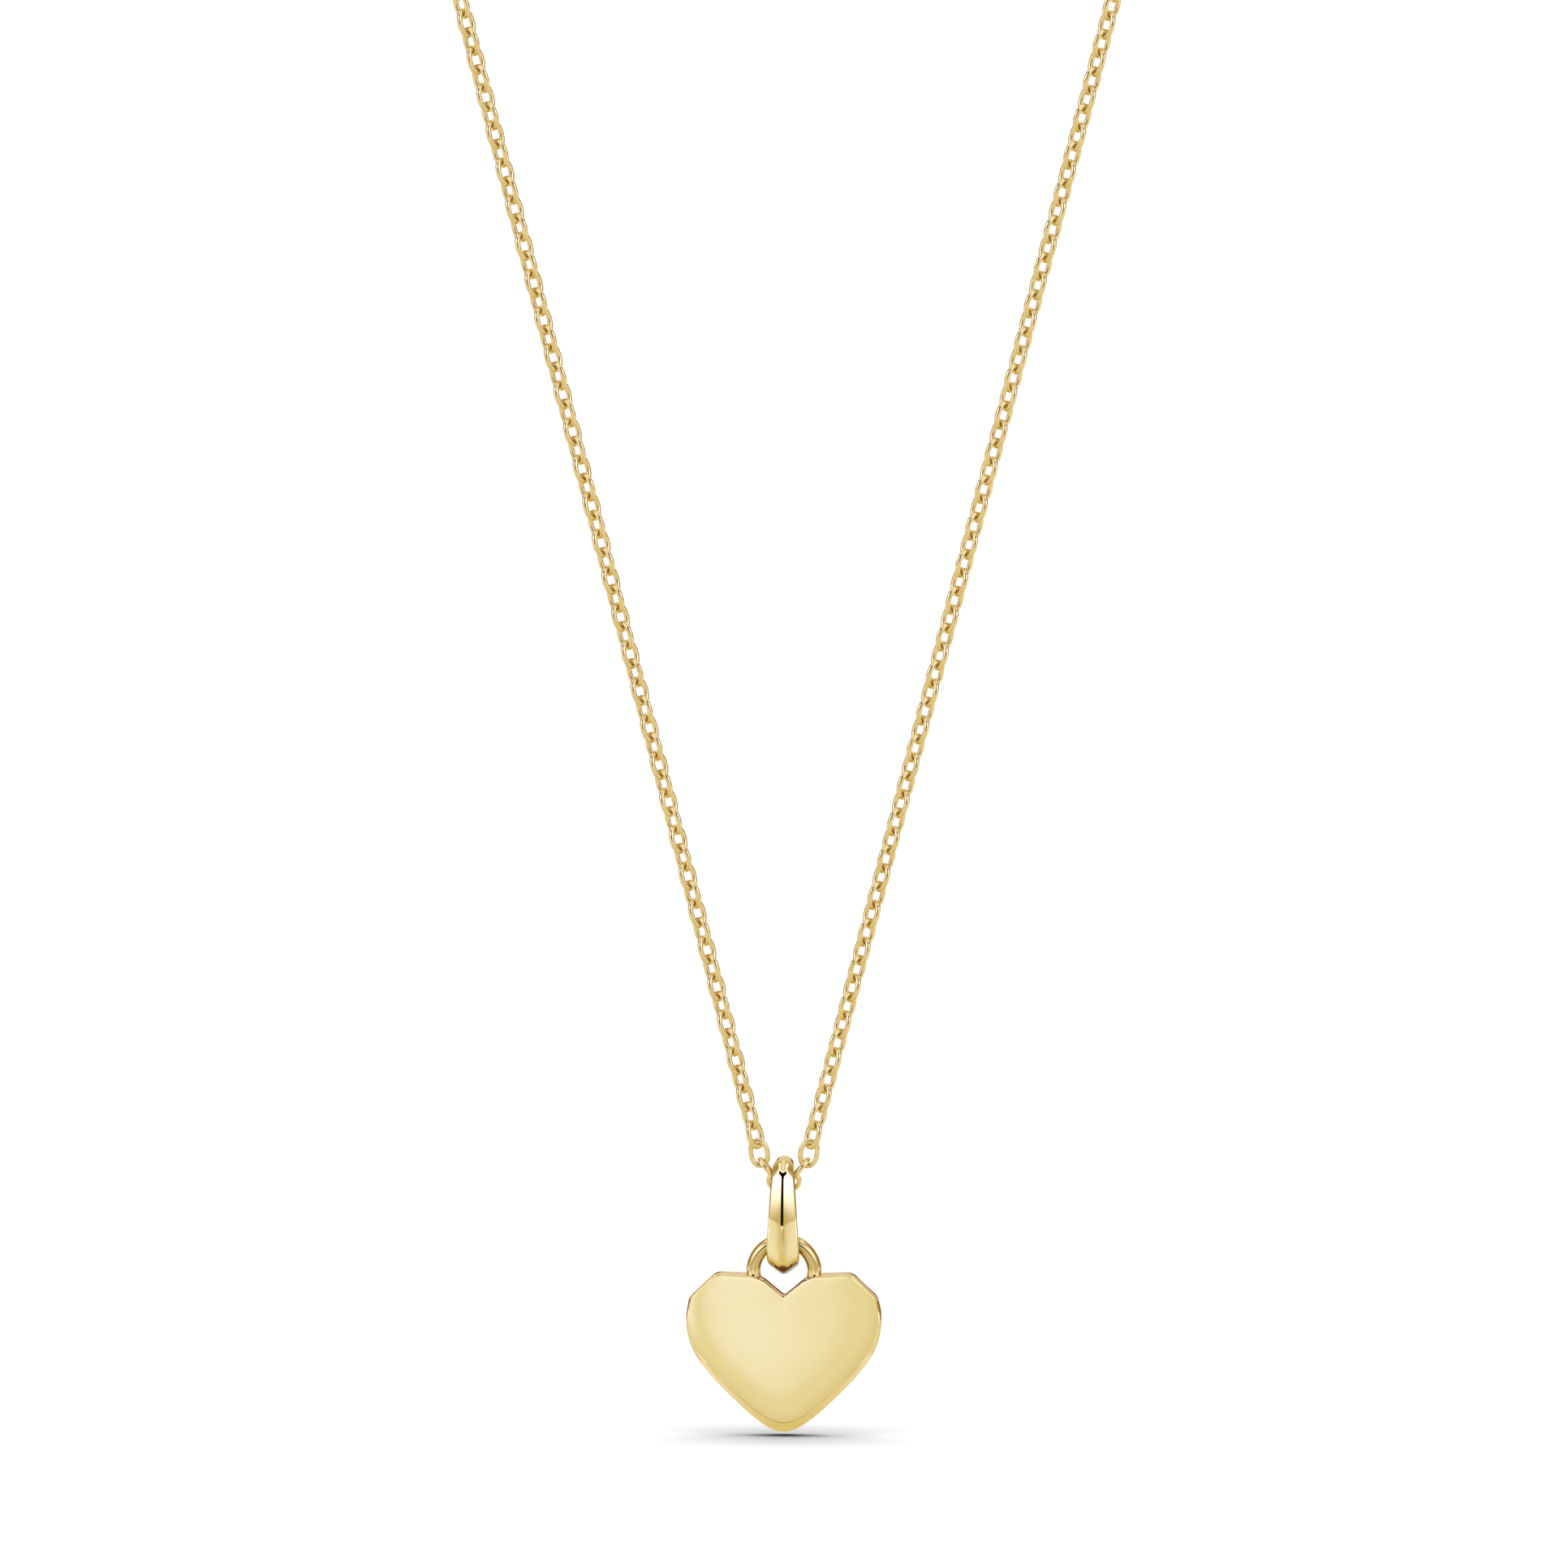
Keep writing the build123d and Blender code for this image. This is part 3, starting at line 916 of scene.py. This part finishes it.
def make_floor():
    """A wide pale floor just below the heart's apex."""
    front = -REACH - 1500.0
    back = 4000.0
    half_width = 3000.0
    corners = [
        (-half_width, front, FLOOR_LEVEL),
        (half_width, front, FLOOR_LEVEL),
        (half_width, back, FLOOR_LEVEL),
        (-half_width, back, FLOOR_LEVEL),
    ]
    floor = make_mesh("floor", corners, [(0, 1, 2, 3)])
    material = bpy.data.materials.new("floor_white")
    material.use_nodes = True
    shader = material.node_tree.nodes["Principled BSDF"]
    shader.inputs["Base Color"].default_value = (*FLOOR_WHITE, 1.0)
    shader.inputs["Roughness"].default_value = 1.0
    shader.inputs["Specular IOR Level"].default_value = 0.0
    dress([floor], material)
    floor.visible_glossy = False
    floor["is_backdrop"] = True
    return floor


DARK_END = (0.010, 0.004, 0.002)
WHITE_CARD = (2.00, 2.02, 2.55)
CARD_FOOT = (0.66, 0.53, 0.28)
SIDE_END = (0.46, 0.31, 0.14)
BACK_WALL = (0.81, 0.68, 0.46)
CEILING = (0.72, 0.57, 0.36)
CEILING_STRIP = (1.05, 1.00, 0.85)
CEILING_LIGHT = (1.60, 1.60, 1.70)
WHITE_PATCH = (1.10, 1.09, 1.22)
WHITE_SKIRTING = (1.45, 1.45, 1.65)
PATCH_EDGE = (0.93, 0.885, 0.71)
PALE_CARD = (1.02, 0.96, 0.90)
GOLDEN_CARD = (0.84, 0.74, 0.52)
DEEP_CARD = (0.83, 0.70, 0.36)
BROWN_CARD = (0.24, 0.11, 0.04)
AHEAD_DIRECTION = (-0.052, -0.9986, 0.0)   # as far left of the front as the camera stands right of it
PATCH_DIRECTION = (-0.100, -0.988, -0.113)
LEFT_PATCH_DIRECTION = (-0.385, -0.916, -0.113)
BACK_DIRECTION = (0.15, 0.93, -0.33)
SEEN_WHITE = (1.05, 1.05, 1.05)
DIM_WHITE = (0.10, 0.10, 0.10)
LAMP_WHITE = (3.1, 3.1, 3.13)

# Where each part of the studio fades into the next. A direction is 1 long, and these are shares of it:
# z upwards, x sideways, y backwards, and ahead, which is 1 in front, 0 beside and -1 behind.
CARD_FADE = (-0.15, 0.28)           # from the white cards' foot up
CARD_FADE_CLIMB = 0.25              # how much higher it lies ahead
CARD_TOP_FADE = (-0.60, -0.46)
CARD_TOP_CLIMB = 3.5
DARK_END_FADE = (0.925, 0.955)
DARK_HEAD_FADE = (0.53, 0.58)       # where the dark end widens into its head
DARK_HEAD_WIDTH = 0.45
DARK_TOP_FADE = (0.755, 0.725)
SIDE_END_FADE = (0.20, 0.08)
BACK_WALL_FADE = (-0.60, -0.85)
BACK_WALL_FOOT_FADE = (0.00, 0.07)
CEILING_STRIP_FADE = (0.12, 0.40)
CEILING_LIGHT_FADE = (0.44, 0.50)
CEILING_FADE = (0.74, 0.80)
PALE_CARD_FADE = (0.85, 0.25)
PATCH_FADE = (math.radians(1), math.radians(10))
PATCH_EDGE_FADE = (math.radians(10), math.radians(26))
LEFT_PATCH_FADE = (math.radians(4), math.radians(9))
DEEP_CARD_FADE = (-0.98, -0.60)
SKIRTING_FOOT_FADE = (-0.085, -0.055)
SKIRTING_END_FADE = (0.25, 0.15)
RIM_LIGHT_FADE = (0.978, 0.990)
RIM_LIGHT_FOOT_FADE = (-0.30, -0.15)
BACK_FADE = (0.05, 0.15)            # where the part behind begins
BACK_FADE_CLIMB = 0.8               # and how much further back it begins for each step down
BACK_GLOW_FADE = (math.radians(3), math.radians(30))
BROWN_FADE = (0.55, 0.88)
BROWN_FOOT_FADE = (-0.155, -0.125)
HORIZON_FADE = (-0.018, -0.012)
LAMP_END_FADE = (0.62, 0.35)
LAMP_SIDE_FADE = (0.85, 0.50)


class Studio:
    """The world's shader, as sums and masks of the direction that a ray looks in."""

    def __init__(self, world):
        world.use_nodes = True
        self.nodes = world.node_tree.nodes
        self.links = world.node_tree.links
        self.nodes.clear()
        self.place = self.nodes.new("ShaderNodeTexCoord").outputs["Generated"]
        split = self.nodes.new("ShaderNodeSeparateXYZ")
        self.links.new(self.place, split.inputs["Vector"])
        x, self.y, self.z = split.outputs
        self.sideways = self.math("ABSOLUTE", x)
        level = self.math("SQRT", self.math("SUBTRACT", 1.0001, self.math("MULTIPLY", self.z, self.z)))
        self.ahead = self.math("DIVIDE", self.dot(AHEAD_DIRECTION), level)
        self.path = self.nodes.new("ShaderNodeLightPath")

    def math(self, operation, *values):
        node = self.nodes.new("ShaderNodeMath")
        node.operation = operation
        for socket, value in zip(node.inputs, values):
            if isinstance(value, (int, float)):
                socket.default_value = value
            else:
                self.links.new(value, socket)
        return node.outputs[0]

    def dot(self, direction):
        node = self.nodes.new("ShaderNodeVectorMath")
        node.operation = "DOT_PRODUCT"
        self.links.new(self.place, node.inputs[0])
        node.inputs[1].default_value = direction
        return node.outputs["Value"]

    def angle_off(self, direction):
        return self.math("ARCCOSINE", self.dot(direction))

    def ease(self, value, fade):
        """Rises smoothly from 0 at the fade's first value to 1 at its second."""
        return masked(self.nodes, self.links, value, *fade)

    def both(self, value, fade, other_value, other_fade):
        return self.math("MULTIPLY", self.ease(value, fade), self.ease(other_value, other_fade))

    def blend(self, share, first, second):
        node = self.nodes.new("ShaderNodeMix")
        node.data_type = "RGBA"
        self.links.new(share, node.inputs["Factor"])
        for socket, value in ((node.inputs[6], first), (node.inputs[7], second)):
            if isinstance(value, tuple):
                socket.default_value = (*value, 1.0)
            else:
                self.links.new(value, socket)
        return node.outputs[2]

    def across(self, value, fade, first, second):
        return self.blend(self.ease(value, fade), first, second)

    def light(self, colour):
        background = self.nodes.new("ShaderNodeBackground")
        if isinstance(colour, tuple):
            background.inputs["Color"].default_value = (*colour, 1.0)
        else:
            self.links.new(colour, background.inputs["Color"])
        return background.outputs[0]

    def choose(self, share, first, second):
        node = self.nodes.new("ShaderNodeMixShader")
        self.links.new(share, node.inputs[0])
        self.links.new(first, node.inputs[1])
        self.links.new(second, node.inputs[2])
        return node.outputs[0]

    def show(self, shader):
        output = self.nodes.new("ShaderNodeOutputWorld")
        self.links.new(shader, output.inputs["Surface"])


def studio_above(studio):
    """A white card at each side, the dark end between them, brown beyond them, and the ceiling."""
    ahead, sideways, z = studio.ahead, studio.sideways, studio.z
    card_height = studio.math("MULTIPLY_ADD", ahead, -CARD_FADE_CLIMB, z)
    card = studio.across(card_height, CARD_FADE, CARD_FOOT, WHITE_CARD)
    over_card = studio.math("MULTIPLY_ADD", ahead, -CARD_TOP_CLIMB, z)
    card = studio.across(over_card, CARD_TOP_FADE, card, CEILING)
    darkness = studio.math("MULTIPLY_ADD", studio.ease(z, DARK_HEAD_FADE), DARK_HEAD_WIDTH, ahead)
    card = studio.blend(studio.both(darkness, DARK_END_FADE, z, DARK_TOP_FADE), card, DARK_END)
    room = studio.across(ahead, SIDE_END_FADE, card, SIDE_END)
    back_wall = studio.across(z, BACK_WALL_FOOT_FADE, BROWN_CARD, BACK_WALL)
    room = studio.across(ahead, BACK_WALL_FADE, room, back_wall)
    ceiling = studio.across(sideways, CEILING_STRIP_FADE, CEILING_STRIP, CEILING)
    ceiling = studio.across(sideways, CEILING_LIGHT_FADE, ceiling, CEILING_LIGHT)
    return studio.across(z, CEILING_FADE, room, ceiling)


def studio_below(studio):
    """Cards that are pale at the sides, with the white patches that the heart's face mirrors."""
    ahead, sideways, z = studio.ahead, studio.sideways, studio.z
    cards = studio.across(ahead, PALE_CARD_FADE, GOLDEN_CARD, PALE_CARD)
    off_patch = studio.angle_off(PATCH_DIRECTION)
    cards = studio.across(off_patch, PATCH_EDGE_FADE, PATCH_EDGE, cards)
    cards = studio.across(off_patch, PATCH_FADE, WHITE_PATCH, cards)
    off_left = studio.angle_off(LEFT_PATCH_DIRECTION)
    cards = studio.across(off_left, LEFT_PATCH_FADE, WHITE_PATCH, cards)
    cards = studio.across(z, DEEP_CARD_FADE, DEEP_CARD, cards)
    skirting = studio.both(z, SKIRTING_FOOT_FADE, sideways, SKIRTING_END_FADE)
    cards = studio.blend(skirting, cards, WHITE_SKIRTING)
    rim_light = studio.both(sideways, RIM_LIGHT_FADE, z, RIM_LIGHT_FOOT_FADE)
    return studio.blend(rim_light, cards, WHITE_CARD)


def studio_behind(studio):
    """A golden wall with a pale glow, brown along its top."""
    glow = studio.angle_off(BACK_DIRECTION)
    back = studio.across(glow, BACK_GLOW_FADE, PALE_CARD, DEEP_CARD)
    brown_part = studio.both(studio.y, BROWN_FADE, studio.z, BROWN_FOOT_FADE)
    return studio.blend(brown_part, back, BROWN_CARD)


def make_studio():
    """What the gold mirrors, and the light overhead that throws the floor's soft shadow."""
    world = bpy.data.worlds.new("studio")
    bpy.context.scene.world = world
    studio = Studio(world)
    behind = studio.math("MULTIPLY_ADD", studio.z, BACK_FADE_CLIMB, studio.y)
    lower = studio.across(behind, BACK_FADE, studio_below(studio), studio_behind(studio))
    everything = studio.across(studio.z, HORIZON_FADE, lower, studio_above(studio))
    mirrored = studio.light(everything)
    # The floor sees the gold dim, so that its shadow stays dark
    dim = studio.light(DIM_WHITE)
    mirrored = studio.choose(studio.path.outputs["Diffuse Depth"], mirrored, dim)
    lengthways = studio.math("ABSOLUTE", studio.y)
    lamp = studio.both(lengthways, LAMP_END_FADE, studio.sideways, LAMP_SIDE_FADE)
    lighting = studio.light(studio.blend(lamp, DIM_WHITE, LAMP_WHITE))
    shader = studio.choose(studio.path.outputs["Is Glossy Ray"], lighting, mirrored)
    seen = studio.light(SEEN_WHITE)
    studio.show(studio.choose(studio.path.outputs["Is Camera Ray"], shader, seen))


# Camera
CAMERA_DISTANCE = 900.0
CAMERA_AZIMUTH = math.radians(3.0)
CAMERA_ELEVATION = math.radians(6.5)
VIEW_WIDTH = 96.6
VIEW_RISE = 24.81           # from the bail's swing axis up to the middle of the picture


def make_camera():
    target = LOW + UP * VIEW_RISE
    away = np.array(
        [
            math.sin(CAMERA_AZIMUTH) * math.cos(CAMERA_ELEVATION),
            -math.cos(CAMERA_AZIMUTH) * math.cos(CAMERA_ELEVATION),
            math.sin(CAMERA_ELEVATION),
        ]
    )
    camera = bpy.data.cameras.new("camera")
    camera.sensor_width = 36.0
    camera.lens = camera.sensor_width * CAMERA_DISTANCE / VIEW_WIDTH
    camera.clip_start = 0.01
    camera.clip_end = 20.0
    holder = bpy.data.objects.new("camera", camera)
    holder.location = Vector((target + away * CAMERA_DISTANCE) * MM)
    holder.rotation_euler = Vector(-away).to_track_quat("-Z", "Y").to_euler()
    bpy.context.scene.collection.objects.link(holder)
    bpy.context.scene.camera = holder


make_camera()
bail_links = make_bail_links()
strands = [make_strand(word, side) for word, side in (("left", -1), ("right", 1))]
bail = make_bail()
heart = make_heart()
clasp = make_clasp()
jump_rings = [make_jump_ring(word, side) for word, side in (("left", -1), ("right", 1))]

# Each finish's colours, roughness, size of cloud in millimetres and strength of grain
heart_gold = make_gold("heart_gold", PALE_GOLD, WARM_GOLD, 0.08, 4.0, 0.04)
soften_ring_and_paint_shade(heart_gold)
dress([heart], heart_gold)
bail_gold = make_gold("bail_gold", PALE_GOLD, WARM_GOLD, 0.045, 2.0, 0.03)
shade_bail(bail_gold)
dress([bail], bail_gold)
dress(bail_links + strands, make_gold("chain_gold", YELLOW_GOLD, DEEP_GOLD, 0.24, 1.5, 0.05))
dress([clasp] + jump_rings, make_gold("clasp_gold", YELLOW_GOLD, DEEP_GOLD, 0.20, 1.5, 0.05))

make_floor()
make_studio()
bpy.context.scene.view_settings.view_transform = "Standard"

sizes = {"cad": cad_box, "visual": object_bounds()}
sizes = {name: [list(corner) for corner in box] for name, box in sizes.items()}
